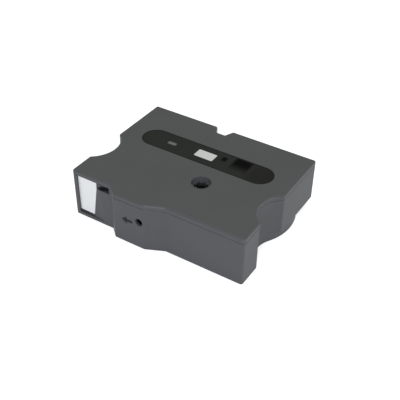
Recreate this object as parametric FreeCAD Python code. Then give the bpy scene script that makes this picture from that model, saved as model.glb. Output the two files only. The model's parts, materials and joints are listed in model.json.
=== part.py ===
import FreeCAD, Part
import math
import os
from collections import namedtuple

# Label tape cassette: a flat moulded case with two tape rolls, an ink ribbon on two hubs
# and a feed roller behind the window at the front left, where the label tape comes out.
# Millimetres. X runs to the right, Y to the back and Z up. The origin is on the underside,
# at the middle of the rectangle that the case fills without its front bulge.

# Tape band. All tapes run at the same height.
tape_width = 24.0
below_tape = 1.5
above_tape = 1.5
tape_thickness = 0.15
film_thickness = 0.10
laminate_thickness = 0.30

# Walls of the case.
wall = 1.8
floor_thickness = 2.0
lid_plate = 2.0
lid_height = 3.0
corner_radius = 1.4
groove_depth = 0.25
lid_edge_radius = 1.0

# Rolls, and the room round them that sets the size of the case.
base_roll_radius = 24.5
base_core_radius = 9.5
film_roll_radius = 20.5
film_wound_depth = 8.5
base_side_gap = 3.2
film_side_gap = 7.2
roll_gap = 8.6
back_gap = 1.4
front_zone = 32.2

# Clearances.
running_gap = 0.06
band_gap = 0.3
end_gap = 0.2
fit_gap = 0.1
seat_gap = 0.1

# Finger notches in the two short sides, placed from the front edge.
side_notch_radius = 17.0
side_notch_depth = 7.3
side_notch_from_front = 30.2

# Notch in the back edge.
back_notch_from_roll = 21.6
back_notch_mouth = 11.1
back_notch_root = 6.1
back_notch_depth = 5.8

# Bulge of the front wall, which makes room for the platen roller of the printer.
bulge_depth = 5.1
bulge_left = -29.0
bulge_right = 7.6
bulge_left_run = 5.5
bulge_right_run = 11.1
sight_hole_x = -6.4
sight_hole_z = 18.0
sight_hole_radius = 2.4

# Spools. Both turn on posts of one size, which fit inside the smaller core.
spool_post_inset = 3.6
spool_post_bore = 3.0
core_wall = 1.4
core_margin = 0.5
spoke_count = 5
spoke_thickness = 1.2

# Ribbon supply, placed from the right and the front edge.
supply_from_right = 23.3
supply_from_front = 17.2
supply_roll_radius = 9.0
supply_core_radius = 5.5
supply_core_bore = 3.9
supply_post_radius = 2.0

# Ribbon take-up hub, under the round hole of the lid.
take_up_from_film = 15.05
take_up_from_front = 29.7
take_up_hub_radius = 6.0
take_up_journal_radius = 5.4
used_ribbon_radius = 6.6
take_up_bore = 4.1
take_up_floor_hole = 4.7
take_up_lid_hole = 5.7

# Feed roller, placed from the left and the front edge.
feed_from_left = 10.7
feed_from_front = 7.1
feed_roller_radius = 5.4
feed_hub_radius = 4.4
feed_bore = 3.7
feed_floor_hole = 4.0
feed_sleeve_margin = 0.2
collar_wall = 1.2

# Splines that the drive spindles of the printer engage.
spline_count = 6
spline_width = 0.8
spline_tip_radius = 3.05

# Round floor of the case, wider than the rolls; the back corners outside it stand higher.
drum_room = 8.5
drum_overhang = 4.8
corner_rise = 5.0
corner_from_roll = 17.9

# Slip sheets above and below each tape roll.
sheet_thickness = 0.15
sheet_hole_gap = 0.3
sheet_edge_gap = 0.5

# Guides of the film and the ribbon, placed from the front edge.
corner_guide_from_right = 13.8
entry_guide_x = 8.0
guide_from_front = 6.2
guide_roller_radius = 2.2
guide_flange = 0.8
guide_post_radius = 1.2
strip_pin_x = -31.0
strip_pin_from_front = 5.3
return_pin_from_front = 18.7
strip_pin_radius = 1.5
film_pin_x = -30.5
film_pin_from_front = 2.1
film_pin_radius = 1.2
turn_pin_from_left = 16.4
turn_pin_radius = 1.2
pin_gap = 0.1
film_to_ribbon = 0.15
film_to_base = 0.05

# Cavity for the print head and the platen roller, open below.
cavity_left = -27.0
cavity_right = 2.0
cavity_from_front = 14.7
slot_from_front = 2.8
slot_width = 1.6

# Exit window in the front wall. Its right side leans over the tape towards the floor, and the wall
# beside it is thinner where the film comes in.
window_frame = 3.2
window_from_left = 17.1
window_lean = 4.1
relief_wall = 0.9
relief_width = 4.5
bevel_top = 2.1
bevel_bottom = 9.5
gap_from_left = 26.3
gap_height = 4.0
exit_slot = 0.9
exit_end_inset = 0.3
guide_block_width = 2.2
guide_block_depth = 3.0
guide_block_nose = 1.0

# Locating holes in the floor.
front_locating_from_right = 5.9
front_locating_from_front = 11.2
back_locating_x = 1.0
back_locating_from_back = 13.2
locating_radius = 1.6
locating_boss_radius = 3.0
locating_boss_height = 5.0

# Pegs of the lid and their sockets.
peg_from_side = 6.0
peg_from_back = 5.6
front_peg_from_side = 5.5
front_peg_from_front = 5.2
middle_peg_from_right = 35.8
middle_peg_from_front = 13.7
left_peg_from_side = 19.8
left_peg_from_front = 28.2
valley_peg_from_roll = 3.8
valley_peg_from_back = 24.2
peg_radius = 1.2
peg_length = 7.0
socket_radius = 2.4
lip_thickness = 1.0

# Label on the lid.
label_from_back = 30.9
label_from_side = 12.3
label_radius = 8.7
label_recess = 0.5
label_thickness = 0.35
label_margin = 0.2

# Clutch spring of the ribbon supply.
spring_wire = 0.5
spring_radius = 3.0
spring_turns = 4
spring_pitch = 0.9

LEFT = 1
RIGHT = -1
Stop = namedtuple("Stop", "centre radius side")

# Sizes that follow from the ones above.
case_width = (2 * (wall + base_roll_radius + film_roll_radius)
              + base_side_gap + roll_gap + film_side_gap)
row_radius = max(base_roll_radius, film_roll_radius)
drum_radius = row_radius + drum_room
film_core_radius = film_roll_radius - film_wound_depth
spool_post_radius = min(base_core_radius, film_core_radius) - spool_post_inset
case_depth = wall + back_gap + 2 * row_radius + front_zone
case_height = floor_thickness + below_tape + tape_width + above_tape + lid_plate
half_width = case_width / 2
back = case_depth / 2
front = -back
bulge_front = front - bulge_depth
lid_underside = case_height - lid_plate
parting_height = case_height - lid_height
tape_bottom = floor_thickness + below_tape
tape_top = tape_bottom + tape_width
seat_height = tape_bottom - core_margin
core_top = tape_top + core_margin
into_floor = floor_thickness / 2
into_lid = lid_plate / 4
over = 1.0
fine = 0.01
beyond = max(case_width, case_depth)

roll_y = back - wall - back_gap - row_radius
base_centre = (-half_width + wall + base_side_gap + base_roll_radius, roll_y)
film_centre = (half_width - wall - film_side_gap - film_roll_radius, roll_y)
back_notch_x = base_centre[0] + back_notch_from_roll
supply_centre = (half_width - supply_from_right, front + supply_from_front)
take_up_centre = (film_centre[0] - take_up_from_film, front + take_up_from_front)
feed_centre = (-half_width + feed_from_left, front + feed_from_front)
corner_guide = (half_width - corner_guide_from_right, front + guide_from_front)
entry_guide = (entry_guide_x, front + guide_from_front)
strip_pin = (strip_pin_x, front + strip_pin_from_front)
return_pin = (strip_pin_x, front + return_pin_from_front)
film_pin = (film_pin_x, front + film_pin_from_front)
cavity_back = front + cavity_from_front
window_right = -half_width + window_from_left
exit_near = feed_centre[1] - feed_roller_radius - band_gap
turn_pin = (-half_width + turn_pin_from_left, exit_near + turn_pin_radius + pin_gap)
locating_holes = [(half_width - front_locating_from_right, front + front_locating_from_front),
                  (back_locating_x, back - back_locating_from_back)]
peg_places = [(half_width - peg_from_side, back - peg_from_back),
              (-half_width + peg_from_side, back - peg_from_back),
              (half_width - front_peg_from_side, front + front_peg_from_front),
              (half_width - middle_peg_from_right, front + middle_peg_from_front),
              (-half_width + left_peg_from_side, front + left_peg_from_front),
              (base_centre[0] + base_roll_radius + valley_peg_from_roll, back - valley_peg_from_back)]
collars = [(take_up_centre, take_up_journal_radius + running_gap),
           (feed_centre, feed_hub_radius + running_gap)]


def block(low, high):
    size = [b - a for a, b in zip(low, high)]
    return Part.makeBox(size[0], size[1], size[2], FreeCAD.Vector(*low))


def disc(centre, radius, low, high):
    return Part.makeCylinder(radius, high - low, FreeCAD.Vector(centre[0], centre[1], low))


def ring(centre, outer, inner, low, high):
    return disc(centre, outer, low, high).cut(disc(centre, inner, low - over, high + over))


def fused(shapes):
    return shapes[0].multiFuse(shapes[1:]).removeSplitter()


def prism(wire, low, high):
    face = Part.Face(wire)
    face.translate(FreeCAD.Vector(0, 0, low))
    return face.extrude(FreeCAD.Vector(0, 0, high - low))


def polygon(points):
    corners = [FreeCAD.Vector(x, y, 0) for x, y in points]
    return Part.makePolygon(corners + corners[:1])


def rounded(wire, radius):
    """Round the outward corners: shrink the outline and let it grow again with arcs."""
    return wire.makeOffset2D(-radius, 2).makeOffset2D(radius, 0)


def notch_arc(side):
    """Arc of a finger notch, from front to back on the right (side 1), mirrored on the left."""
    middle = half_width + side_notch_radius - side_notch_depth
    half_chord = math.sqrt(side_notch_radius ** 2 - (middle - half_width) ** 2)
    notch_y = front + side_notch_from_front
    inner = FreeCAD.Vector(side * (half_width - side_notch_depth), notch_y, 0)
    first = FreeCAD.Vector(side * half_width, notch_y - half_chord, 0)
    last = FreeCAD.Vector(side * half_width, notch_y + half_chord, 0)
    return first, inner, last


def case_outline():
    """Plan of the case: rectangle, front bulge, two finger notches and the back notch."""
    right_first, right_inner, right_last = notch_arc(1)
    left_first, left_inner, left_last = notch_arc(-1)
    mouth = back_notch_mouth / 2
    root = back_notch_root / 2
    root_y = back - back_notch_depth
    front_run = [(-half_width, front), (bulge_left, front), (bulge_left + bulge_left_run, bulge_front),
                 (bulge_right - bulge_right_run, bulge_front), (bulge_right, front), (half_width, front)]
    back_run = [(half_width, back), (back_notch_x + mouth, back),
                (back_notch_x + root, root_y), (back_notch_x - root, root_y),
                (back_notch_x - mouth, back), (-half_width, back)]
    run_in = [left_first] + [FreeCAD.Vector(x, y, 0) for x, y in front_run] + [right_first]
    run_out = [right_last] + [FreeCAD.Vector(x, y, 0) for x, y in back_run] + [left_last]
    edges = Part.makePolygon(run_in).Edges
    edges.append(Part.Arc(right_first, right_inner, right_last).toShape())
    edges += Part.makePolygon(run_out).Edges
    edges.append(Part.Arc(left_last, left_inner, left_first).toShape())
    return Part.Wire(edges)


sharp_outline = case_outline()
outline = rounded(sharp_outline, corner_radius)


def inset_outline(distance):
    return sharp_outline.makeOffset2D(-distance, 2)


def drum_corner(side, radius, low, high):
    """Back corner of the case outside the round floor of a roll."""
    centre = (side * (half_width - drum_radius), back - drum_radius + drum_overhang)
    left, right = sorted((centre[0], side * beyond))
    corner = block((left, roll_y - corner_from_roll, low), (right, beyond, high))
    return corner.cut(disc(centre, radius, low - over, high + over))


def face_radius(stop, thickness, right_face):
    """Radius at which the left or the right face of a band passes a stop."""
    outer_face = (stop.side == LEFT) == right_face
    return stop.radius + (thickness if outer_face else 0.0)


def straight_headings(stops, thickness, right_face):
    """Heading of each straight stretch, tangent to the two stops that it joins."""
    headings = []
    for one, two in zip(stops, stops[1:]):
        span_x = two.centre[0] - one.centre[0]
        span_y = two.centre[1] - one.centre[1]
        shift = two.side * face_radius(two, thickness, right_face)
        shift -= one.side * face_radius(one, thickness, right_face)
        headings.append(math.atan2(span_y, span_x) - math.asin(shift / math.hypot(span_x, span_y)))
    return headings


def band_face(stops, thickness, right_face, last_heading):
    """One face of a band seen from above: straight stretches joined by arcs round the stops."""
    headings = straight_headings(stops, thickness, right_face)
    if last_heading is not None:
        headings.append(last_heading)

    def point(stop, heading):
        reach = stop.side * face_radius(stop, thickness, right_face)
        return FreeCAD.Vector(stop.centre[0] + reach * math.sin(heading),
                              stop.centre[1] - reach * math.cos(heading), 0)

    edges = []
    start = point(stops[0], headings[0])
    for index, stop in enumerate(stops[1:]):
        arrival = point(stop, headings[index])
        edges.append(Part.LineSegment(start, arrival).toShape())
        if index + 1 < len(headings):
            turn = math.remainder(headings[index + 1] - headings[index], 2 * math.pi)
            if stop.side * turn < -0.01:
                turn += stop.side * 2 * math.pi
            middle = point(stop, headings[index] + turn / 2)
            start = point(stop, headings[index + 1])
            edges.append(Part.Arc(arrival, middle, start).toShape())
    return Part.Wire(edges)


def band(stops, thickness, last_heading=None):
    """Upright band of tape that runs tangent round the stops, as high as the tape."""
    left = band_face(stops, thickness, False, last_heading)
    right = band_face(stops, thickness, True, last_heading)
    ends = []
    for index in (0, -1):
        corners = (left.OrderedVertexes[index].Point, right.OrderedVertexes[index].Point)
        ends.append(Part.LineSegment(*corners).toShape())
    wire = Part.Wire(Part.__sortEdges__(left.Edges + right.Edges + ends))
    return prism(wire, tape_bottom, tape_top)


def splines(centre, bore, low, high):
    """Ribs inside a hub, which the drive spindle of the printer engages."""
    root = bore + spline_width / 2
    rib = block((spline_tip_radius, -spline_width / 2, low), (root, spline_width / 2, high))
    ribs = []
    for index in range(spline_count):
        copy = rib.copy()
        copy.rotate(FreeCAD.Vector(0, 0, 0), FreeCAD.Vector(0, 0, 1), index * 360.0 / spline_count)
        copy.translate(FreeCAD.Vector(centre[0], centre[1], 0))
        ribs.append(copy)
    return ribs


def spool_core(centre, outer):
    """Spool core: outer drum and inner bearing tube, joined by spokes."""
    inner = spool_post_radius + running_gap
    drum = ring(centre, outer, outer - core_wall, seat_height, core_top)
    bearing = ring(centre, inner + core_wall, inner, seat_height, core_top)
    pieces = [drum, bearing]
    reach_in = inner + core_wall / 2
    reach_out = outer - core_wall / 2
    for index in range(spoke_count):
        spoke = block((reach_in, -spoke_thickness / 2, seat_height),
                      (reach_out, spoke_thickness / 2, core_top))
        spoke.rotate(FreeCAD.Vector(0, 0, 0), FreeCAD.Vector(0, 0, 1), index * 360.0 / spoke_count)
        spoke.translate(FreeCAD.Vector(centre[0], centre[1], 0))
        pieces.append(spoke)
    return fused(pieces)


def roll(centre, outer, core):
    return ring(centre, outer, core, tape_bottom, tape_top)


def slip_sheet(centre, roll_radius, core, low):
    return ring(centre, roll_radius - sheet_edge_gap, core + sheet_hole_gap, low, low + sheet_thickness)


def supply_core():
    """Ribbon supply core: a tube that turns on the post with a web at each end."""
    tube = ring(supply_centre, supply_core_radius, supply_core_bore, seat_height, core_top)
    bearing = supply_post_radius + running_gap
    reach = (supply_core_bore + supply_core_radius) / 2
    low_web = ring(supply_centre, reach, bearing, seat_height, seat_height + core_wall)
    high_web = ring(supply_centre, reach, bearing, core_top - core_wall, core_top)
    return fused([tube, low_web, high_web])


def take_up_hub():
    """Ribbon take-up hub with a journal at each end and a splined bore."""
    low = floor_thickness + end_gap
    high = lid_underside - end_gap
    body = ring(take_up_centre, take_up_hub_radius, take_up_bore, tape_bottom, tape_top)
    journal = ring(take_up_centre, take_up_journal_radius, take_up_bore, low, high)
    return fused([body, journal] + splines(take_up_centre, take_up_bore, low, high))


def feed_hub():
    low = floor_thickness + end_gap
    high = lid_underside - end_gap
    hub = ring(feed_centre, feed_hub_radius, feed_bore, low, high)
    return fused([hub] + splines(feed_centre, feed_bore, low, high))


def feed_sleeve():
    return ring(feed_centre, feed_roller_radius, feed_hub_radius,
                tape_bottom - feed_sleeve_margin, tape_top + feed_sleeve_margin)


def guide_roller(centre):
    """Guide roller with a shallow flange at each end of the tape band."""
    bore = guide_post_radius + running_gap
    flange = guide_roller_radius + guide_flange
    barrel = ring(centre, guide_roller_radius, bore, seat_height, core_top)
    low_flange = ring(centre, flange, bore, seat_height, tape_bottom - seat_gap)
    high_flange = ring(centre, flange, bore, tape_top + seat_gap, core_top)
    return fused([barrel, low_flange, high_flange])


def clutch_spring():
    """Wound wire spring between the supply post and its core, half a turn for each arc."""
    low = seat_height + core_wall + spring_wire
    arcs = []
    for index in range(2 * spring_turns):
        side = 1 if index % 2 == 0 else -1
        height = low + index * spring_pitch / 2
        start = FreeCAD.Vector(side * spring_radius, 0, height)
        middle = FreeCAD.Vector(0, side * spring_radius, height + spring_pitch / 4)
        end = FreeCAD.Vector(-side * spring_radius, 0, height + spring_pitch / 2)
        arcs.append(Part.Arc(start, middle, end).toShape())
    first = FreeCAD.Vector(spring_radius, 0, low)
    section = Part.Wire(Part.makeCircle(spring_wire / 2, first, FreeCAD.Vector(0, 1, 0)))
    coil = Part.Wire(arcs).makePipeShell([section], True, True)
    coil.translate(FreeCAD.Vector(supply_centre[0], supply_centre[1], 0))
    return coil


def jamb_at(height):
    """Where the leaning right side of the window stands at a height."""
    return window_right - window_lean * (parting_height - height) / (parting_height - floor_thickness)


def window_opening():
    """Window with a leaning right side, from the floor up to the lid."""
    left = -half_width + window_frame
    top = parting_height + over
    sides = [(left, floor_thickness), (jamb_at(floor_thickness), floor_thickness),
             (jamb_at(top), top), (left, top)]
    corners = [FreeCAD.Vector(x, front - over, z) for x, z in sides]
    face = Part.Face(Part.makePolygon(corners + corners[:1]))
    return face.extrude(FreeCAD.Vector(0, over + 2 * wall, 0))


def window_bevel():
    """Slanting bevel in front of the window's right side, wider towards the floor."""
    wires = []
    for height, reach in ((floor_thickness, bevel_bottom), (parting_height - gap_height, bevel_top)):
        jamb = jamb_at(height)
        outside = jamb + reach * (1 + over / relief_wall)
        points = [(jamb - over, front - over), (outside, front - over),
                  (jamb, front + relief_wall), (jamb - over, front + relief_wall)]
        corners = [FreeCAD.Vector(x, y, height) for x, y in points]
        wires.append(Part.makePolygon(corners + corners[:1]))
    return Part.makeLoft(wires, True, True)


def head_cavity(spread, low, high):
    """Plan of the head cavity, grown sideways and backwards by spread."""
    plan = block((cavity_left - spread, -beyond, low), (cavity_right + spread, cavity_back + spread, high))
    return plan.common(prism(inset_outline(wall), low - over, high + over))


def floor_bosses():
    """Posts, pins, seats and sockets that stand on the floor, with their height above it."""
    low = floor_thickness - into_floor
    seat = seat_height - seat_gap
    bosses = [disc(base_centre, spool_post_radius, low, core_top - end_gap),
              disc(film_centre, spool_post_radius, low, core_top - end_gap),
              disc(base_centre, base_core_radius, low, seat),
              disc(film_centre, film_core_radius, low, seat),
              disc(supply_centre, supply_post_radius, low, core_top - end_gap),
              disc(supply_centre, supply_core_radius, low, seat),
              disc(strip_pin, strip_pin_radius, low, lid_underside - end_gap),
              disc(return_pin, strip_pin_radius, low, lid_underside - end_gap),
              disc(turn_pin, turn_pin_radius, low, parting_height - end_gap),
              disc(film_pin, film_pin_radius, low, parting_height - end_gap)]
    for centre in (corner_guide, entry_guide):
        bosses.append(disc(centre, guide_post_radius, low, core_top + end_gap))
        bosses.append(disc(centre, guide_roller_radius, low, seat))
    for centre in peg_places:
        bosses.append(disc(centre, socket_radius, low, parting_height - end_gap))
    for centre in locating_holes:
        bosses.append(disc(centre, locating_boss_radius, low, locating_boss_height))
    for centre, radius in collars:
        bosses.append(ring(centre, radius + collar_wall, radius, low, seat_height))
    return bosses


def floor_holes():
    """Round holes for the drive spindles, the locating pins and the pegs of the lid."""
    deep = parting_height - peg_length
    holes = [disc(take_up_centre, take_up_floor_hole, -over, floor_thickness),
             disc(feed_centre, feed_floor_hole, -over, floor_thickness),
             disc(base_centre, spool_post_bore, deep - over, core_top),
             disc(film_centre, spool_post_bore, deep - over, core_top)]
    for centre in locating_holes:
        holes.append(disc(centre, locating_radius, -over, locating_boss_height + over))
    for centre in peg_places:
        holes.append(disc(centre, peg_radius + fit_gap, deep - over, parting_height))
    return holes


def window_cuts():
    """Exit window, thin wall and gap beside it, exit slot in the side wall, and sight hole."""
    relief = block((window_right - window_lean - over, front + relief_wall, tape_bottom - seat_gap),
                   (window_right + relief_width, front + 2 * wall, beyond))
    side_gap = block((window_right - over, -beyond, parting_height - gap_height),
                     (-half_width + gap_from_left, front + wall + fit_gap, beyond))
    slot_middle = exit_near - laminate_thickness / 2
    exit_cut = block((-beyond, slot_middle - exit_slot / 2, tape_bottom - seat_gap),
                     (-half_width + window_frame + over, slot_middle + exit_slot / 2, beyond))
    start = FreeCAD.Vector(sight_hole_x, bulge_front - wall, sight_hole_z)
    sight = Part.makeCylinder(sight_hole_radius, 3 * wall, start, FreeCAD.Vector(0, 1, 0))
    return [window_opening(), relief, side_gap, exit_cut, sight, window_bevel()]


def edges_at(shape, height):
    """Edges of a shape that lie flat at one height."""
    return [edge for edge in shape.Edges
            if abs(edge.BoundBox.ZMin - height) < fine and abs(edge.BoundBox.ZMax - height) < fine]


def lower_case():
    """Tub of the case, with the round floors, the head cavity, the posts and the exit window."""
    shell = prism(outline, 0, parting_height)
    shell = shell.makeChamfer(groove_depth, edges_at(shell, parting_height))
    inner = prism(inset_outline(wall), floor_thickness, parting_height + over)
    corners = [drum_corner(side, drum_radius, -over, corner_rise) for side in (-1, 1)]
    inner_rise = corner_rise + floor_thickness
    inner_corners = [drum_corner(side, drum_radius - wall, 0, inner_rise) for side in (-1, 1)]
    tub = shell.cut(inner.cut(Part.makeCompound(inner_corners)))
    hollow = head_cavity(0, 0, parting_height + over)
    cavity_wall = head_cavity(wall, into_floor, parting_height).cut(hollow)
    slot = block((cavity_left - 2 * wall, front + slot_from_front, tape_bottom - seat_gap),
                 (cavity_right + 2 * wall, front + slot_from_front + slot_width, beyond))
    walls = fused([tub, cavity_wall.cut(slot)]).cut(Part.makeCompound(window_cuts()))
    tub = fused([walls] + floor_bosses())
    cuts = corners + [head_cavity(0, -over, floor_thickness)] + floor_holes()
    return tub.cut(Part.makeCompound(cuts)).removeSplitter()


def obround(margin, low, high):
    """Long shape with round ends for the label, smaller all round by margin."""
    radius = label_radius - margin
    end = half_width - label_from_side - label_radius
    middle = back - label_from_back
    bar = block((-end, middle - radius, low), (end, middle + radius, high))
    return fused([bar] + [disc((side * end, middle), radius, low, high) for side in (-1, 1)])


def lid_lip():
    """Lip of the lid inside the wall, left out at the exit, the cavity and the sockets."""
    low = tape_top + fit_gap
    high = lid_underside + into_lid
    lip = prism(inset_outline(wall + fit_gap), low, high)
    lip = lip.cut(prism(inset_outline(wall + fit_gap + lip_thickness), low - over, high + over))
    gaps = [block((-beyond, -beyond, 0), (cavity_right + wall + fit_gap, cavity_back, beyond))]
    gaps += [disc(centre, socket_radius + fit_gap, 0, beyond) for centre in peg_places]
    return lip.cut(Part.makeCompound(gaps))


def lid_bosses():
    """Pegs, collars and the rings that keep the cores down, on the underside of the lid."""
    high = lid_underside + into_lid
    peg_low = parting_height - peg_length
    bosses = []
    for centre in peg_places:
        bosses.append(disc(centre, peg_radius, peg_low, high))
        bosses.append(disc(centre, socket_radius, parting_height - fit_gap, high))
    for centre in (base_centre, film_centre):
        bosses.append(disc(centre, spool_post_bore - fit_gap, peg_low, high))
        keeper = spool_post_radius + core_wall
        bosses.append(ring(centre, keeper, spool_post_radius, core_top + end_gap, high))
    for centre, radius in collars:
        bosses.append(ring(centre, radius + collar_wall, radius, core_top, high))
    return bosses


def upper_case():
    """Lid: plate with a shallow rim, a lip inside the wall, pegs and the recess of the label."""
    plate = prism(outline, parting_height, case_height)
    plate = plate.makeFillet(lid_edge_radius, edges_at(plate, case_height))
    plate = plate.makeChamfer(groove_depth, edges_at(plate, parting_height))
    plate = plate.cut(prism(inset_outline(wall), parting_height - over, lid_underside))
    lid = fused([plate, lid_lip()] + lid_bosses())
    recess = obround(0, case_height - label_recess, case_height + over)
    hole = disc(take_up_centre, take_up_lid_hole, lid_underside, case_height + over)
    return lid.cut(Part.makeCompound([recess, hole])).removeSplitter()


def label():
    low = case_height - label_recess
    return obround(label_margin, low, low + label_thickness)


def film_strip():
    """Clear film from its roll round the two guides and past the head to the turn pin."""
    beside_ribbon = film_thickness + film_to_ribbon
    beside_base = tape_thickness + film_to_base
    stops = [Stop(film_centre, film_roll_radius + band_gap, RIGHT),
             Stop(corner_guide, guide_roller_radius + band_gap, RIGHT),
             Stop(entry_guide, guide_roller_radius + band_gap + beside_ribbon, RIGHT),
             Stop(film_pin, film_pin_radius + pin_gap, LEFT),
             Stop(turn_pin, turn_pin_radius + pin_gap + beside_base, RIGHT)]
    return band(stops, film_thickness, math.pi)


def ribbon_strip():
    """Ink ribbon from the supply past the head, round two pins and back to the take-up hub."""
    stops = [Stop(supply_centre, supply_roll_radius + band_gap, RIGHT),
             Stop(entry_guide, guide_roller_radius + band_gap, RIGHT),
             Stop(strip_pin, strip_pin_radius + pin_gap, RIGHT),
             Stop(return_pin, strip_pin_radius + pin_gap, RIGHT),
             Stop(take_up_centre, used_ribbon_radius + band_gap, LEFT)]
    return band(stops, film_thickness)


def base_strip():
    """White base tape from its roll to the turn pin, where the film joins it."""
    stops = [Stop(base_centre, base_roll_radius + band_gap, LEFT),
             Stop(turn_pin, turn_pin_radius + pin_gap, RIGHT)]
    return band(stops, tape_thickness, math.pi)


def exit_tape():
    """Finished label tape past the feed roller, with its end inside the slot of the side wall."""
    low = (-half_width + exit_end_inset, exit_near - laminate_thickness, tape_bottom)
    return block(low, (turn_pin[0] - end_gap, exit_near, tape_top))


def exit_guide():
    """Guide block with a bevelled nose that backs the tape just before the exit slot."""
    left = -half_width + window_frame + fit_gap
    right = left + guide_block_width
    near = exit_near + fit_gap
    far = near + guide_block_depth
    nose = guide_block_nose
    plan = [(left, near), (right - nose, near), (right, near + nose), (right, far), (left, far)]
    return prism(polygon(plan), floor_thickness, core_top)


low_sheet = seat_height + seat_gap
high_sheet = tape_top + end_gap

nodes = {
    "lower_case": lower_case(),
    "upper_case": upper_case(),
    "label": label(),
    "base_tape_core": spool_core(base_centre, base_core_radius),
    "base_tape_roll": roll(base_centre, base_roll_radius, base_core_radius),
    "base_sheet_lower": slip_sheet(base_centre, base_roll_radius, base_core_radius, low_sheet),
    "base_sheet_upper": slip_sheet(base_centre, base_roll_radius, base_core_radius, high_sheet),
    "base_tape_strip": base_strip(),
    "film_core": spool_core(film_centre, film_core_radius),
    "film_roll": roll(film_centre, film_roll_radius, film_core_radius),
    "film_sheet_lower": slip_sheet(film_centre, film_roll_radius, film_core_radius, low_sheet),
    "film_sheet_upper": slip_sheet(film_centre, film_roll_radius, film_core_radius, high_sheet),
    "film_strip": film_strip(),
    "ribbon_supply_core": supply_core(),
    "ribbon_supply_roll": roll(supply_centre, supply_roll_radius, supply_core_radius),
    "ribbon_clutch_spring": clutch_spring(),
    "ribbon_strip": ribbon_strip(),
    "take_up_hub": take_up_hub(),
    "take_up_turns": roll(take_up_centre, used_ribbon_radius, take_up_hub_radius),
    "feed_roller_hub": feed_hub(),
    "feed_roller_sleeve": feed_sleeve(),
    "corner_guide_roller": guide_roller(corner_guide),
    "entry_guide_roller": guide_roller(entry_guide),
    "exit_tape": exit_tape(),
    "exit_guide": exit_guide(),
}

os.makedirs("parts", exist_ok=True)
for name, shape in nodes.items():
    shape.exportStep("parts/" + name + ".step")
    print(name, len(shape.Solids), shape.isValid(), round(shape.Volume, 1), len(shape.Faces))
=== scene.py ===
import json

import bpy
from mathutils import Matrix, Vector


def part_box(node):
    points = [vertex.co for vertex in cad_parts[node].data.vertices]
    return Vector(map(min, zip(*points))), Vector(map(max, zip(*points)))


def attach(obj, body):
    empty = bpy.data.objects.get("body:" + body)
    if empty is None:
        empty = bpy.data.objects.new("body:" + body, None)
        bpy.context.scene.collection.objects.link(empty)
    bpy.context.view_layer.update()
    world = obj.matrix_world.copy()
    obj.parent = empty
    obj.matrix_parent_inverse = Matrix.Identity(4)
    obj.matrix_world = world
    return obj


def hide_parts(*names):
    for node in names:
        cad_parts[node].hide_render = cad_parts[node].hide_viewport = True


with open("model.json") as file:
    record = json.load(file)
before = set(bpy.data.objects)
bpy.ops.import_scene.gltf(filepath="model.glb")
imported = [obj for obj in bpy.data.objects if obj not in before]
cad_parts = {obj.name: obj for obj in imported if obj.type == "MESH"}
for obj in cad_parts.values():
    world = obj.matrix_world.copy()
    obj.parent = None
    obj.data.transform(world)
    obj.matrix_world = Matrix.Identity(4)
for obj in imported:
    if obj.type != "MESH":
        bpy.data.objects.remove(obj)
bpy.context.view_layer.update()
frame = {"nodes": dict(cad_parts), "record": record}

# %% [markdown]
# # A cassette for label tape
# The object is a flat moulded box that holds three wound strips: white base tape, clear film and ink
# ribbon. The solids come from the CAD model, already in place and in metres. This lesson gives each
# of them a finish, winds the rolls and the spring again as real spirals, prints the label, and lights
# the whole as for a product photograph.
# Sizes are written in millimetres, the way the part is measured, and turned into metres at one place.

MM = 0.001
nodes = frame["nodes"]
bodies = frame["record"]["behaviour"]["bodies"]
body_of = {name: body for body, names in bodies.items() for name in names}


def mm(*values):
    """A point in metres from millimetres."""
    return Vector(values) * MM


print("pieces in the frame:", len(nodes))

# %% [markdown]
# ## The camera
# The photograph looks down at 38 degrees on the corner between the front and the right side. The
# camera could be aimed at a point, but a real photograph is also turned a little about its own axis.
# So the three directions of the camera are written down, and its place with them. The long lens
# keeps the far edges of the box almost parallel to the near ones. The Standard view leaves colours
# as they are lit, with no film curve on top.

# %% Camera
SENSOR_WIDTH, LENS = 36.0, 65.62
CAMERA_PLACE = (183.06, -288.56, 272.56)
camera_data = bpy.data.cameras.new("camera")
camera_data.sensor_width = SENSOR_WIDTH
camera_data.lens = LENS
camera_data.clip_start = 0.01
camera = bpy.data.objects.new("camera", camera_data)
bpy.context.scene.collection.objects.link(camera)
right = Vector((0.84436, 0.53567, 0.01048))
up = Vector((-0.33689, 0.51562, 0.78781))
backward = right.cross(up)
turn = Matrix((right, up, backward)).transposed().to_4x4()
camera.matrix_world = Matrix.Translation(mm(*CAMERA_PLACE)) @ turn
bpy.context.scene.camera = camera
bpy.context.scene.view_settings.view_transform = "Standard"
print("camera distance in mm:", round(camera.location.length / MM))

# %% [markdown]
# ## Building materials from small parts
# A material is a graph of nodes. A few short helpers keep the graphs readable: some add nodes and
# link them, two make and use a shared group with named inputs and outputs, and one turns a colour as
# a painter reads it from a screen into the linear light that the renderer works with.


# %% Helpers for node graphs
def add(tree, kind, **settings):
    made = tree.nodes.new(kind)
    for name, value in settings.items():
        setattr(made, name, value)
    return made


def feed(tree, value, socket):
    """Links a socket to another, or writes a constant on it."""
    if isinstance(value, bpy.types.NodeSocket):
        tree.links.new(value, socket)
    else:
        socket.default_value = value


def calc(tree, operation, *values, clamp=False):
    made = add(tree, "ShaderNodeMath", operation=operation, use_clamp=clamp)
    for value, socket in zip(values, made.inputs):
        feed(tree, value, socket)
    return made.outputs[0]


def vector_calc(tree, operation, *values):
    made = add(tree, "ShaderNodeVectorMath", operation=operation)
    for value, socket in zip(values, made.inputs):
        feed(tree, value, socket)
    return made.outputs["Value" if operation in ("LENGTH", "DOT_PRODUCT") else "Vector"]


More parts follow.
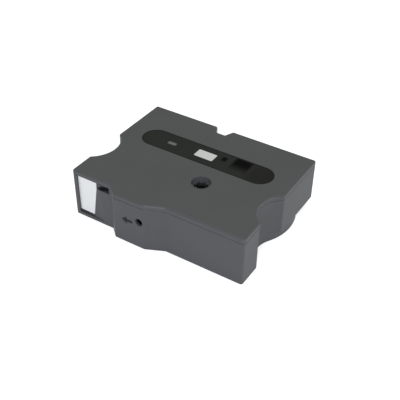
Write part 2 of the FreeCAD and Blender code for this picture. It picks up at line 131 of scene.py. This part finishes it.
def blend_colours(tree, mask, first, second):
    made = add(tree, "ShaderNodeMix", data_type="RGBA")
    feed(tree, mask, made.inputs[0])
    feed(tree, first, made.inputs[6])
    feed(tree, second, made.inputs[7])
    return made.outputs[2]


def linear(*screen):
    """Linear colour from screen values of 0 to 255."""
    steps = [value / 255 for value in screen]
    return tuple([v / 12.92 if v <= 0.04045 else ((v + 0.055) / 1.055) ** 2.4 for v in steps] + [1.0])


def new_group(name, inputs, outputs):
    """A shader node group: inputs are (name, kind, default), outputs are (name, kind)."""
    group = bpy.data.node_groups.new(name, "ShaderNodeTree")
    for label_text, kind, default in inputs:
        socket = group.interface.new_socket(label_text, in_out="INPUT", socket_type="NodeSocket" + kind)
        socket.default_value = default
    for label_text, kind in outputs:
        group.interface.new_socket(label_text, in_out="OUTPUT", socket_type="NodeSocket" + kind)
    entry = group.nodes.new("NodeGroupInput")
    leave = group.nodes.new("NodeGroupOutput")
    return group, entry.outputs, leave.inputs


def use_group(tree, group, **values):
    made = add(tree, "ShaderNodeGroup", node_tree=group)
    for name, value in values.items():
        feed(tree, value, made.inputs[name.replace("_", " ")])
    return made.outputs


def in_millimetres(tree):
    """Object coordinates in millimetres."""
    place = add(tree, "ShaderNodeTexCoord").outputs["Object"]
    return vector_calc(tree, "MULTIPLY", place, (1 / MM, 1 / MM, 1 / MM))


print("charcoal in linear light:", [round(v, 3) for v in linear(84, 86, 85)[:3]])

# %% [markdown]
# ## Floor, daylight and lamps
# The box lies on white paper. Paper that is lit evenly is almost as bright as the film can hold, so
# the floor adds a little glow of its own, but only for rays that reach the lens or a shiny surface.
# Rays that light the box still meet plain diffuse paper, and the soft shadow at the foot of the walls
# stays. Beyond the paper the lens sees plain white, while the daylight that falls on the box keeps its
# own level. Two large lamps stand low, one in front and one at the right. They make the walls brighter
# than the lid, as in the photograph, and are a little cooler than the daylight from above. The front
# lamp stands square to the slanted wall of the bulge, so the round edge above that wall catches it.

# %% Floor
FLOOR_GLOW = 0.62
FLOOR_PALE = 0.80
FLOOR_REACH = 3.0
FLOOR_DROP = 0.02


def floor_material():
    made = bpy.data.materials.new("white_paper")
    made.use_nodes = True
    tree = made.node_tree
    tree.nodes.clear()
    paper = add(tree, "ShaderNodeBsdfDiffuse")
    paper.inputs["Color"].default_value = (FLOOR_PALE, FLOOR_PALE, FLOOR_PALE, 1.0)
    path = add(tree, "ShaderNodeLightPath")
    seen = calc(tree, "MAXIMUM", path.outputs["Is Camera Ray"], path.outputs["Is Glossy Ray"])
    glow = add(tree, "ShaderNodeEmission")
    feed(tree, calc(tree, "MULTIPLY", seen, FLOOR_GLOW), glow.inputs["Strength"])
    both = add(tree, "ShaderNodeAddShader")
    feed(tree, paper.outputs[0], both.inputs[0])
    feed(tree, glow.outputs[0], both.inputs[1])
    feed(tree, both.outputs[0], add(tree, "ShaderNodeOutputMaterial").inputs["Surface"])
    return made


floor_mesh = bpy.data.meshes.new("floor")
signs = [(-1, -1), (1, -1), (1, 1), (-1, 1)]
floor_corners = [(x * FLOOR_REACH, y * FLOOR_REACH, 0) for x, y in signs]
floor_mesh.from_pydata(floor_corners, [], [(0, 1, 2, 3)])
floor = bpy.data.objects.new("floor", floor_mesh)
bpy.context.scene.collection.objects.link(floor)
floor_mesh.materials.append(floor_material())
floor.location.z = -FLOOR_DROP * MM
print("floor is", 2 * FLOOR_REACH, "m wide")

# %% Daylight
DAYLIGHT = 0.46
world = bpy.data.worlds.new("daylight")
bpy.context.scene.world = world
world.use_nodes = True
tree = world.node_tree
sky = tree.nodes["Background"]
sky.inputs["Color"].default_value = (0.99, 1.0, 0.97, 1.0)
seen_by_lens = add(tree, "ShaderNodeLightPath").outputs["Is Camera Ray"]
feed(tree, calc(tree, "MAXIMUM", seen_by_lens, DAYLIGHT), sky.inputs["Strength"])
print("daylight level:", DAYLIGHT)

# %% Lamps
# Name, place, target, width in metres, power in watts and colour of each lamp.
LAMPS = [("front_lamp", (0.285, -0.715, 0.345), (0, 0, 0.015), 0.30, 3.5, (0.78, 0.79, 1.0)),
         ("side_lamp", (0.85, 0.04, 0.24), (0, 0, 0.015), 0.45, 1.6, (0.90, 0.89, 1.0)),
         ("top_lamp", (-0.1, 0.15, 0.9), (0, 0, 0.03), 0.7, 2.0, (1.0, 1.0, 0.98))]


def soft_lamp(name, place, target, size, watts, colour):
    data = bpy.data.lights.new(name, "AREA")
    data.shape = "DISK"
    data.size = size
    data.energy = watts
    data.color = colour
    lamp = bpy.data.objects.new(name, data)
    bpy.context.scene.collection.objects.link(lamp)
    lamp.location = place
    lamp.rotation_euler = (Vector(target) - Vector(place)).to_track_quat("-Z", "Y").to_euler()


for lamp_values in LAMPS:
    soft_lamp(*lamp_values)
print("lamps:", ", ".join(values[0] for values in LAMPS))

# %% [markdown]
# ## Effects that several materials share
# *Moulded grain*: the steel mould of such a case is eroded by sparks, which leaves a fine, even
# roughness. Two sizes of noise make it, one of about a quarter of a millimetre that can be felt and
# one of a few centimetres that only shifts the tone, because the plastic cools unevenly.
#
# *Soft edges*: no moulded edge is perfectly sharp. Real rounding on every edge would cost many
# faces. The Bevel node looks round each edge instead and bends the normal there. The angle between
# the bent and the true normal also says where an edge is, and there hands have polished the grain.
# The rim of the lid is really round in the model. Its slanting normal, neither level nor upright,
# finds it, and the mould is smoother there, so the rim can catch a lamp.

# %% Moulded grain
grain, given, made = new_group("moulded_grain",
                               [("Grain Size", "Float", 0.25), ("Tone Size", "Float", 28.0)],
                               [("Height", "Float"), ("Tone", "Float")])
place = in_millimetres(grain)
fine = add(grain, "ShaderNodeTexNoise")
fine.inputs["Detail"].default_value = 3.0
fine.inputs["Roughness"].default_value = 0.6
feed(grain, place, fine.inputs["Vector"])
feed(grain, calc(grain, "DIVIDE", 1.0, given["Grain Size"]), fine.inputs["Scale"])
wide = add(grain, "ShaderNodeTexNoise")
wide.inputs["Detail"].default_value = 2.0
feed(grain, place, wide.inputs["Vector"])
feed(grain, calc(grain, "DIVIDE", 1.0, given["Tone Size"]), wide.inputs["Scale"])
feed(grain, fine.outputs[0], made["Height"])
feed(grain, wide.outputs[0], made["Tone"])
print("group:", grain.name)

# %% Soft edges
EDGE_GAIN = 6.0
RIM_GAIN = 4.0
soft_edges, given, made = new_group("soft_edges",
                                    [("Radius", "Float", 0.35 * MM), ("Patchiness", "Float", 0.5)],
                                    [("Normal", "Vector"), ("Edge", "Float"), ("Rim", "Float")])
bevel = add(soft_edges, "ShaderNodeBevel", samples=6)
feed(soft_edges, given["Radius"], bevel.inputs["Radius"])
true_normal = add(soft_edges, "ShaderNodeNewGeometry").outputs["Normal"]
agreement = vector_calc(soft_edges, "DOT_PRODUCT", bevel.outputs[0], true_normal)
disagreement = calc(soft_edges, "SUBTRACT", 1.0, agreement)
bend = calc(soft_edges, "MULTIPLY", disagreement, EDGE_GAIN, clamp=True)
patches = add(soft_edges, "ShaderNodeTexNoise")
patches.inputs["Scale"].default_value = 0.35
feed(soft_edges, in_millimetres(soft_edges), patches.inputs["Vector"])
held_back = calc(soft_edges, "MULTIPLY", patches.outputs[0], given["Patchiness"])
feed(soft_edges, bevel.outputs[0], made["Normal"])
feed(soft_edges, calc(soft_edges, "SUBTRACT", bend, held_back, clamp=True), made["Edge"])
slant = add(soft_edges, "ShaderNodeSeparateXYZ")
feed(soft_edges, true_normal, slant.inputs[0])
level_part = calc(soft_edges, "SUBTRACT", 1.0, slant.outputs["Z"])
slope = calc(soft_edges, "MULTIPLY", slant.outputs["Z"], level_part)
feed(soft_edges, calc(soft_edges, "MULTIPLY", slope, RIM_GAIN, clamp=True), made["Rim"])
print("group:", soft_edges.name)

# %% [markdown]
# ## Moulded plastics
# One recipe serves every moulded piece. Base Color is the plastic's own colour, shifted a little by
# the wide tone and lightened at the edges, partly as wear and partly as a painted highlight. Roughness
# is high and falls where hands have been.
# The grain becomes a bump on top of the softened normal. Each piece then differs in its values only,
# as real plastics from one factory do: charcoal ABS for the case, off-white acetal for the cores and
# rollers, darker acetal for the two driven hubs.


# %% Plastic recipe
# The first two lines below lighten the colour at edges: partly wear, partly a painted highlight.
EDGE_WEAR_AND_SHEEN = 0.25
WEAR_SHEEN_GAIN, WEAR_SHEEN_LIFT = 1.35, 0.01
EDGE_POLISH = 0.12
RIM_POLISH = 0.22
ROUGHNESS_SPREAD = 0.12
GRAIN_STRENGTH = 0.35


def plastic(name, colour, roughness, grain_size=0.25, bump=0.02, edge_radius=0.35, tone=0.10,
            shine=0.5):
    """A moulded plastic; grain size, bump and edge radius are in millimetres."""
    made = bpy.data.materials.new(name)
    made.use_nodes = True
    tree = made.node_tree
    shader = tree.nodes["Principled BSDF"]
    shader.inputs["Specular IOR Level"].default_value = shine
    surface = use_group(tree, grain, Grain_Size=grain_size)
    edges = use_group(tree, soft_edges, Radius=edge_radius * MM)
    darker = tuple([v * (1 - tone) for v in colour[:3]] + [1.0])
    lighter = tuple([v * (1 + tone) for v in colour[:3]] + [1.0])
    # Lighter colour at the edges: partly wear and partly a painted highlight.
    worn_sheen_colour = tuple([v * WEAR_SHEEN_GAIN + WEAR_SHEEN_LIFT for v in colour[:3]] + [1.0])
    body_colour = blend_colours(tree, surface["Tone"], darker, lighter)
    wear_and_sheen = calc(tree, "MULTIPLY", edges["Edge"], EDGE_WEAR_AND_SHEEN)
    feed(tree, blend_colours(tree, wear_and_sheen, body_colour, worn_sheen_colour), shader.inputs["Base Color"])
    uneven = calc(tree, "MULTIPLY_ADD", surface["Tone"], ROUGHNESS_SPREAD,
                  roughness - ROUGHNESS_SPREAD / 2)
    handled = calc(tree, "MULTIPLY_ADD", edges["Edge"], -EDGE_POLISH, uneven)
    smoothed = calc(tree, "MULTIPLY_ADD", edges["Rim"], -RIM_POLISH, handled)
    feed(tree, smoothed, shader.inputs["Roughness"])
    relief = add(tree, "ShaderNodeBump")
    relief.inputs["Strength"].default_value = GRAIN_STRENGTH
    relief.inputs["Distance"].default_value = bump * MM
    feed(tree, surface["Height"], relief.inputs["Height"])
    feed(tree, edges["Normal"], relief.inputs["Normal"])
    feed(tree, relief.outputs[0], shader.inputs["Normal"])
    return made


def dress(material, *names):
    """Gives CAD nodes a material."""
    for name in names:
        nodes[name].data.materials.clear()
        nodes[name].data.materials.append(material)


case_plastic = plastic("case_plastic", linear(78, 80, 79), 0.55, bump=0.03, shine=0.3)
dress(case_plastic, "lower_case", "upper_case")
driven_plastic = plastic("driven_plastic", linear(66, 69, 68), 0.45, grain_size=0.15, shine=0.4)
dress(driven_plastic, "take_up_hub", "feed_roller_hub")
core_plastic = plastic("core_plastic", linear(206, 207, 202), 0.45, grain_size=0.15)
dress(core_plastic, "base_tape_core", "film_core", "ribbon_supply_core")
guide_plastic = plastic("guide_plastic", linear(196, 196, 190), 0.35, grain_size=0.12,
                        edge_radius=0.15)
dress(guide_plastic, "corner_guide_roller", "entry_guide_roller")
block_plastic = plastic("block_plastic", linear(74, 76, 76), 0.5)
dress(block_plastic, "exit_guide")
print("plastics:", sum(1 for material in bpy.data.materials if material.name.endswith("_plastic")))

# %% [markdown]
# ## Rubber of the feed roller
# The sleeve of the feed roller presses film and tape together. It is soft black rubber, ground to
# size, so it has fine lines round it and hardly any shine. A wave along the height makes the lines.

# %% Roller rubber
LINE_DENSITY, LINE_WAVER, LINE_DEPTH = 1.2, 0.6, 0.6
rubber = plastic("roller_rubber", linear(40, 40, 41), 0.78, grain_size=0.1, edge_radius=0.2,
                 tone=0.05)
tree = rubber.node_tree
ground = add(tree, "ShaderNodeTexWave", bands_direction="Z")
ground.inputs["Scale"].default_value = LINE_DENSITY
ground.inputs["Distortion"].default_value = LINE_WAVER
feed(tree, in_millimetres(tree), ground.inputs["Vector"])
relief = next(item for item in tree.nodes if item.bl_idname == "ShaderNodeBump")
moulded = relief.inputs["Height"].links[0].from_socket
lined = calc(tree, "MULTIPLY_ADD", ground.outputs["Fac"], LINE_DEPTH, moulded)
feed(tree, lined, relief.inputs["Height"])
dress(rubber, "feed_roller_sleeve")
print("material:", rubber.name)

# %% [markdown]
# ## Tape, film and ribbon
# The white tape in the window is two strips pressed together: white base tape with clear film over
# it. Paper-white with a thin clear coat says exactly that. The edge of a wound roll shows its turns
# as fine rings, so the rolls take their tone from the distance to the centre of the roll. The loose
# film is half clear, and its dark colour is painted shade: the dark inside of the case behind it. The
# ink ribbon is thin and deep black with a wax shine.

# %% Rings on the edge of a roll
rings, given, made = new_group("wound_rings",
                               [("Centre", "Vector", (0, 0, 0)), ("Turn Size", "Float", 0.3)],
                               [("Tone", "Float")])
from_middle = vector_calc(rings, "SUBTRACT", in_millimetres(rings), given["Centre"])
flat = vector_calc(rings, "MULTIPLY", from_middle, (1.0, 1.0, 0.0))
distance = vector_calc(rings, "LENGTH", flat)
turn_noise = add(rings, "ShaderNodeTexNoise", noise_dimensions="1D")
turn_noise.inputs["Scale"].default_value = 1.0
turn_noise.inputs["Detail"].default_value = 2.0
feed(rings, calc(rings, "DIVIDE", distance, given["Turn Size"]), turn_noise.inputs["W"])
feed(rings, turn_noise.outputs[0], made["Tone"])
print("group:", rings.name)


# %% Strip recipe
COAT_ROUGHNESS = 0.12
STRIP_SPREAD = 0.1
PATCH_GRAIN, PATCH_SIZE = 0.4, 9.0
FIBRE_SIZE, FIBRE_DEPTH, FIBRE_STRENGTH = 0.12, 0.005, 0.2


def strip(name, colour, roughness, coat=0.0, alpha=1.0, centre=None, turn_size=0.3, contrast=0.12,
          shine=0.5):
    """A thin strip, or a roll of it where a centre in millimetres is given."""
    made = bpy.data.materials.new(name)
    made.use_nodes = True
    tree = made.node_tree
    shader = tree.nodes["Principled BSDF"]
    shader.inputs["Specular IOR Level"].default_value = shine
    shader.inputs["Coat Weight"].default_value = coat
    shader.inputs["Coat Roughness"].default_value = COAT_ROUGHNESS
    shader.inputs["Alpha"].default_value = alpha
    if centre:
        tone = use_group(tree, rings, Centre=(*centre, 0.0), Turn_Size=turn_size)["Tone"]
    else:
        tone = use_group(tree, grain, Grain_Size=PATCH_GRAIN, Tone_Size=PATCH_SIZE)["Tone"]
    darker = tuple([v * (1 - contrast) for v in colour[:3]] + [1.0])
    feed(tree, blend_colours(tree, tone, darker, colour), shader.inputs["Base Color"])
    uneven = calc(tree, "MULTIPLY_ADD", tone, STRIP_SPREAD, roughness - STRIP_SPREAD / 2)
    feed(tree, uneven, shader.inputs["Roughness"])
    fibre = use_group(tree, grain, Grain_Size=FIBRE_SIZE)
    relief = add(tree, "ShaderNodeBump")
    relief.inputs["Strength"].default_value = FIBRE_STRENGTH
    relief.inputs["Distance"].default_value = FIBRE_DEPTH * MM
    feed(tree, fibre["Height"], relief.inputs["Height"])
    feed(tree, relief.outputs[0], shader.inputs["Normal"])
    return made


def middle_of(name):
    """Centre of a CAD node seen from above, in millimetres."""
    low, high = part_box(name)
    return ((low.x + high.x) / 2 / MM, (low.y + high.y) / 2 / MM)


finished_tape = strip("finished_tape", linear(232, 235, 228), 0.4, coat=0.5, contrast=0.03)
dress(finished_tape, "exit_tape")
white_tape = strip("white_tape", linear(232, 233, 229), 0.55, contrast=0.04)
dress(white_tape, "base_tape_strip")
# The film's dark colour is painted shade of the inside of the case behind it.
clear_film = strip("clear_film", linear(44, 46, 48), 0.15, alpha=0.5, contrast=0.03)
dress(clear_film, "film_strip")
ink_ribbon = strip("ink_ribbon", linear(20, 20, 22), 0.3, contrast=0.2)
dress(ink_ribbon, "ribbon_strip")
slip_sheet = strip("slip_sheet", linear(190, 198, 202), 0.3, alpha=0.7, contrast=0.05)
dress(slip_sheet, "base_sheet_lower", "base_sheet_upper", "film_sheet_lower", "film_sheet_upper")
wound_tape = strip("wound_tape", linear(226, 226, 218), 0.6, centre=middle_of("base_tape_roll"),
                   turn_size=0.3)
wound_film = strip("wound_film", linear(190, 202, 206), 0.3, centre=middle_of("film_roll"),
                   turn_size=0.15)
wound_ribbon = strip("wound_ribbon", linear(30, 30, 33), 0.4, centre=middle_of("ribbon_supply_roll"),
                     turn_size=0.12, contrast=0.35)
used_ribbon = strip("used_ribbon", linear(30, 30, 33), 0.4, centre=middle_of("take_up_turns"),
                    turn_size=0.12, contrast=0.35)
dress(used_ribbon, "take_up_turns")
print("strips and rolls:", finished_tape.name, wound_tape.name, wound_film.name, wound_ribbon.name)

# %% [markdown]
# ## Spirals with Geometry Nodes
# A roll is one long strip on a spiral, and the clutch spring is one wire on a helix. Both follow the
# same rule, so one node tree makes them all: a spiral curve with a number of turns, a first and a
# last radius and a rise, swept with either a flat or a round section. Modelling the turns by hand
# would take dozens of rings that never join up as a real winding does.
# The tree ends in Realize Instances and Set Material, and the result is copied into a plain mesh.

# %% The winding tree
SECTION_POINTS = 12
winding = bpy.data.node_groups.new("winding", "GeometryNodeTree")
winding.interface.new_socket("Geometry", in_out="OUTPUT", socket_type="NodeSocketGeometry")
WINDING_INPUTS = [("Turns", "Float", 10.0),
                  ("Points per Turn", "Int", 48),
                  ("First Radius", "Float", 0.005),
                  ("Last Radius", "Float", 0.01),
                  ("Rise", "Float", 0.0),
                  ("Section Width", "Float", 0.0002),
                  ("Section Height", "Float", 0.02),
                  ("Round Section", "Bool", False),
                  ("Place", "Vector", (0.0, 0.0, 0.0)),
                  ("Finish", "Material", None)]
input_ids = {}
for label_text, kind, default in WINDING_INPUTS:
    socket = winding.interface.new_socket(label_text, in_out="INPUT", socket_type="NodeSocket" + kind)
    if default is not None:
        socket.default_value = default
    input_ids[label_text] = socket.identifier
given = winding.nodes.new("NodeGroupInput").outputs
spiral = add(winding, "GeometryNodeCurveSpiral")
for label_text, socket_name in [("Turns", "Rotations"), ("Points per Turn", "Resolution"),
                                ("Rise", "Height"), ("First Radius", "Start Radius"),
                                ("Last Radius", "End Radius")]:
    feed(winding, given[label_text], spiral.inputs[socket_name])
flat_section = add(winding, "GeometryNodeCurvePrimitiveQuadrilateral", mode="RECTANGLE")
feed(winding, given["Section Width"], flat_section.inputs["Width"])
feed(winding, given["Section Height"], flat_section.inputs["Height"])
round_section = add(winding, "GeometryNodeCurvePrimitiveCircle", mode="RADIUS")
round_section.inputs["Resolution"].default_value = SECTION_POINTS
half_width = calc(winding, "MULTIPLY", given["Section Width"], 0.5)
feed(winding, half_width, round_section.inputs["Radius"])
section = add(winding, "GeometryNodeSwitch", input_type="GEOMETRY")
feed(winding, given["Round Section"], section.inputs["Switch"])
feed(winding, flat_section.outputs["Curve"], section.inputs["False"])
feed(winding, round_section.outputs["Curve"], section.inputs["True"])
level = add(winding, "GeometryNodeSetCurveNormal", mode="Z_UP")
feed(winding, spiral.outputs["Curve"], level.inputs["Curve"])
sweep = add(winding, "GeometryNodeCurveToMesh")
sweep.inputs["Fill Caps"].default_value = True
feed(winding, level.outputs["Curve"], sweep.inputs["Curve"])
feed(winding, section.outputs["Output"], sweep.inputs["Profile Curve"])
shift = add(winding, "GeometryNodeTransform")
feed(winding, sweep.outputs["Mesh"], shift.inputs["Geometry"])
feed(winding, given["Place"], shift.inputs["Translation"])
smooth = add(winding, "GeometryNodeSetShadeSmooth")
feed(winding, shift.outputs["Geometry"], smooth.inputs["Geometry"])
feed(winding, given["Round Section"], smooth.inputs["Shade Smooth"])
whole = add(winding, "GeometryNodeRealizeInstances")
feed(winding, smooth.outputs["Geometry"], whole.inputs["Geometry"])
finish = add(winding, "GeometryNodeSetMaterial")
feed(winding, whole.outputs["Geometry"], finish.inputs["Geometry"])
feed(winding, given["Finish"], finish.inputs["Material"])
feed(winding, finish.outputs["Geometry"], winding.nodes.new("NodeGroupOutput").inputs["Geometry"])
print("inputs of the tree:", ", ".join(input_ids))


# %% Making a piece from the tree
def wind(name, body, values):
    """A plain mesh from the winding tree, riding on a body."""
    holder = bpy.data.objects.new(name, bpy.data.meshes.new(name))
    bpy.context.scene.collection.objects.link(holder)
    modifier = holder.modifiers.new("winding", "NODES")
    modifier.node_group = winding
    for label_text, value in values.items():
        modifier[input_ids[label_text]] = value
    bpy.context.view_layer.update()
    evaluated = holder.evaluated_get(bpy.context.evaluated_depsgraph_get())
    mesh = bpy.data.meshes.new_from_object(evaluated)
    holder.modifiers.clear()
    holder.data = mesh
    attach(holder, body)
    print(name, "faces:", len(mesh.polygons))
    return holder


# %% [markdown]
# ## The three rolls
# Each roll fills the ring between its core and its outer radius, which are read from the CAD nodes.
# The strip is a little narrower than the room, and the gap between two turns shows as a dark line on
# the edge of the roll. The number of turns is smaller than on the real roll, because turns of a tenth
# of a millimetre would be finer than any view of them, and the rings in the material add the rest.

# %% Rolls
ROLLS = [("base_tape_roll", "base_tape_core", 40, wound_tape),
         ("film_roll", "film_core", 34, wound_film),
         ("ribbon_supply_roll", "ribbon_supply_core", 22, wound_ribbon)]
ROLL_POINTS = 56
STRIP_SHARE = 0.9
EDGE_PLAY = 0.05
for name, core, turns, material in ROLLS:
    low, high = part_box(name)
    core_low, core_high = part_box(core)
    outer = (high.x - low.x) / 2
    inner = (core_high.x - core_low.x) / 2
    pitch = (outer - inner) / (turns + 1)
    wound = wind(name.replace("_roll", "_winding"), body_of[name],
                 {"Turns": float(turns), "Points per Turn": ROLL_POINTS,
                  "First Radius": inner + pitch / 2, "Last Radius": outer - pitch / 2,
                  "Section Width": pitch * STRIP_SHARE,
                  "Section Height": high.z - low.z - EDGE_PLAY * MM,
                  "Place": (low + high) / 2, "Finish": material})
    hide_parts(name)

# %% [markdown]
# ## The clutch spring
# The spring sits inside the ribbon core and holds the ribbon taut. Drawn spring wire is bright, with
# fine lines along it and darker oil in places. It is metal, so Metallic is one and the colour is
# that of its reflection.

# %% Spring wire
SPRING_TURNS, SPRING_POINTS = 4.0, 32
WIRE = 0.5 * MM
spring_steel = bpy.data.materials.new("spring_steel")
spring_steel.use_nodes = True
tree = spring_steel.node_tree
shader = tree.nodes["Principled BSDF"]
shader.inputs["Metallic"].default_value = 1.0
drawn = use_group(tree, grain, Grain_Size=0.08, Tone_Size=1.5)
feed(tree, blend_colours(tree, drawn["Tone"], linear(120, 118, 114), linear(196, 196, 194)),
     shader.inputs["Base Color"])
feed(tree, calc(tree, "MULTIPLY_ADD", drawn["Height"], 0.2, 0.2), shader.inputs["Roughness"])
low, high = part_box("ribbon_clutch_spring")
rise = high.z - low.z - WIRE
coil_radius = (high.x - low.x - WIRE) / 2
spring_foot = Vector(((low.x + high.x) / 2, (low.y + high.y) / 2, low.z + WIRE / 2))
spring = wind("spring_wire", body_of["ribbon_clutch_spring"],
              {"Turns": SPRING_TURNS, "Points per Turn": SPRING_POINTS,
               "First Radius": coil_radius, "Last Radius": coil_radius, "Rise": rise,
               "Section Width": WIRE, "Round Section": True, "Place": spring_foot,
               "Finish": spring_steel})
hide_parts("ribbon_clutch_spring")

# %% [markdown]
# ## The printed label
# The label is dark plastic film with flat areas of ink: one white field, one black field that thins
# out towards the lower edge, a small dark square between them and a small pale bar at the left. It
# needs no picture. A printed field is a rectangle with round corners, and the distance from a point
# to such a rectangle is a short sum, so one group draws every field with its own centre and size.
# The ends of the label are slightly different in tone, and a thin rim along its edge is darker.

# %% A printed field
field, given, made = new_group("printed_field",
                               [("Centre", "Vector", (0, 0, 0)), ("Half Size", "Vector", (1, 1, 0)),
                                ("Corner", "Float", 0.5), ("Softness", "Float", 0.15)],
                               [("Mask", "Float")])
corner = add(field, "ShaderNodeCombineXYZ")
feed(field, given["Corner"], corner.inputs["X"])
feed(field, given["Corner"], corner.inputs["Y"])
offset = vector_calc(field, "SUBTRACT", in_millimetres(field), given["Centre"])
from_centre = vector_calc(field, "ABSOLUTE", offset)
straight = vector_calc(field, "SUBTRACT", given["Half Size"], corner.outputs[0])
past_straight = vector_calc(field, "SUBTRACT", from_centre, straight)
outside = vector_calc(field, "MAXIMUM", past_straight, (0.0, 0.0, 0.0))
outside = vector_calc(field, "MULTIPLY", outside, (1.0, 1.0, 0.0))
beyond_rim = calc(field, "SUBTRACT", vector_calc(field, "LENGTH", outside), given["Corner"])
soft = calc(field, "DIVIDE", beyond_rim, given["Softness"])
feed(field, calc(field, "SUBTRACT", 0.5, soft, clamp=True), made["Mask"])
print("group:", field.name)

# %% Label print
label_print = plastic("label_print", linear(43, 45, 41), 0.5, grain_size=0.18, bump=0.008,
                      edge_radius=0.15, shine=0.045)
tree = label_print.node_tree
shader = tree.nodes["Principled BSDF"]
colour = shader.inputs["Base Color"].links[0].from_socket
low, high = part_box("label")
label_y = (low.y + high.y) / 2 / MM
label_half = (high.x - low.x) / 2 / MM
label_round = (high.y - low.y) / 2 / MM
FADE_FROM, FADE_TO = 5.5, 14.5
# Width in millimetres of the darker rim along the label's edge.
DARK_RIM_WIDTH = 0.5
RIM_COLOUR = linear(26, 27, 25)

height = add(tree, "ShaderNodeSeparateXYZ")
feed(tree, in_millimetres(tree), height.inputs[0])
thinning = add(tree, "ShaderNodeMapRange", interpolation_type="SMOOTHSTEP")
feed(tree, height.outputs["Y"], thinning.inputs["Value"])
thinning.inputs["From Min"].default_value = FADE_FROM
thinning.inputs["From Max"].default_value = FADE_TO

# Colour, centre, half size, corner, softness and fade of each field, in the order of printing.
FIELDS = [(linear(36, 37, 34), (38.0, label_y), (9.0, 8.6), 4.0, 6.0, None),
          (linear(0, 0, 0), (22.2, 11.7), (5.4, 7.4), 0.8, 1.6, thinning.outputs[0]),
          (linear(2, 2, 2), (10.9, 14.0), (1.5, 2.0), 0.6, 1.2, None),
          (linear(208, 208, 205), (-0.5, 11.6), (6.15, 3.45), 0.7, 0.2, None),
          (linear(112, 113, 110), (-23.7, 11.2), (2.8, 1.2), 0.8, 0.9, None)]


def field_mask(centre, half_size, corner_size, softness):
    """Where a field lies; all its sizes are in millimetres."""
    return use_group(tree, field, Centre=(*centre, 0.0), Half_Size=(*half_size, 0.0),
                     Corner=corner_size, Softness=softness)["Mask"]


for ink, centre, half_size, corner_size, softness, fade in FIELDS:
    mask = field_mask(centre, half_size, corner_size, softness)
    if fade:
        mask = calc(tree, "MULTIPLY", mask, fade)
    colour = blend_colours(tree, mask, colour, ink)
inside = field_mask((0.0, label_y), (label_half - DARK_RIM_WIDTH, label_round - DARK_RIM_WIDTH),
                    label_round - DARK_RIM_WIDTH, 0.4)
feed(tree, blend_colours(tree, inside, RIM_COLOUR, colour), shader.inputs["Base Color"])
dress(label_print, "label")
print("label is", round(2 * label_half, 1), "mm long and", round(2 * label_round, 1), "mm wide")

# %% [markdown]
# ## The arrow at the sight hole
# A small dark arrow on the front of the bulge points along the way the tape runs. It is pad print:
# a film of ink a few hundredths of a millimetre thick. It could be a mask in the case's material,
# but a thin piece of its own keeps a crisp outline in any view and leaves the plastic as it is. The
# outline is drawn once from the arrow's length and the width of its head and shaft.

# %% Arrow
bulge_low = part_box("lower_case")[0].y
ARROW_TIP, ARROW_TAIL, ARROW_Z = -18.2, -10.9, 16.0
ARROW_HEAD, ARROW_HEAD_HALF, ARROW_SHAFT_HALF, INK = 3.6, 2.6, 0.9, 0.04


def arrow_outline():
    neck = ARROW_TIP + ARROW_HEAD
    upper = [(ARROW_TIP, 0.0), (neck, ARROW_HEAD_HALF), (neck, ARROW_SHAFT_HALF),
             (ARROW_TAIL, ARROW_SHAFT_HALF)]
    lower = [(x, -z) for x, z in reversed(upper[1:])]
    return upper + lower


outline = arrow_outline()
near = [(x * MM, bulge_low - INK * MM, (ARROW_Z + z) * MM) for x, z in outline]
far = [(x * MM, bulge_low + INK * MM, (ARROW_Z + z) * MM) for x, z in outline]
count = len(outline)
sides = [(i, i + count, (i + 1) % count + count, (i + 1) % count) for i in range(count)]
arrow_mesh = bpy.data.meshes.new("feed_arrow")
caps = [tuple(reversed(range(count))), tuple(range(count, 2 * count))]
arrow_mesh.from_pydata(near + far, [], caps + sides)
arrow_mesh.update()
arrow = bpy.data.objects.new("feed_arrow", arrow_mesh)
bpy.context.scene.collection.objects.link(arrow)
arrow_mesh.materials.append(strip("arrow_ink", linear(46, 46, 50), 0.6, contrast=0.3, shine=0.1))
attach(arrow, "case")
print("arrow length in mm:", ARROW_TAIL - ARROW_TIP)
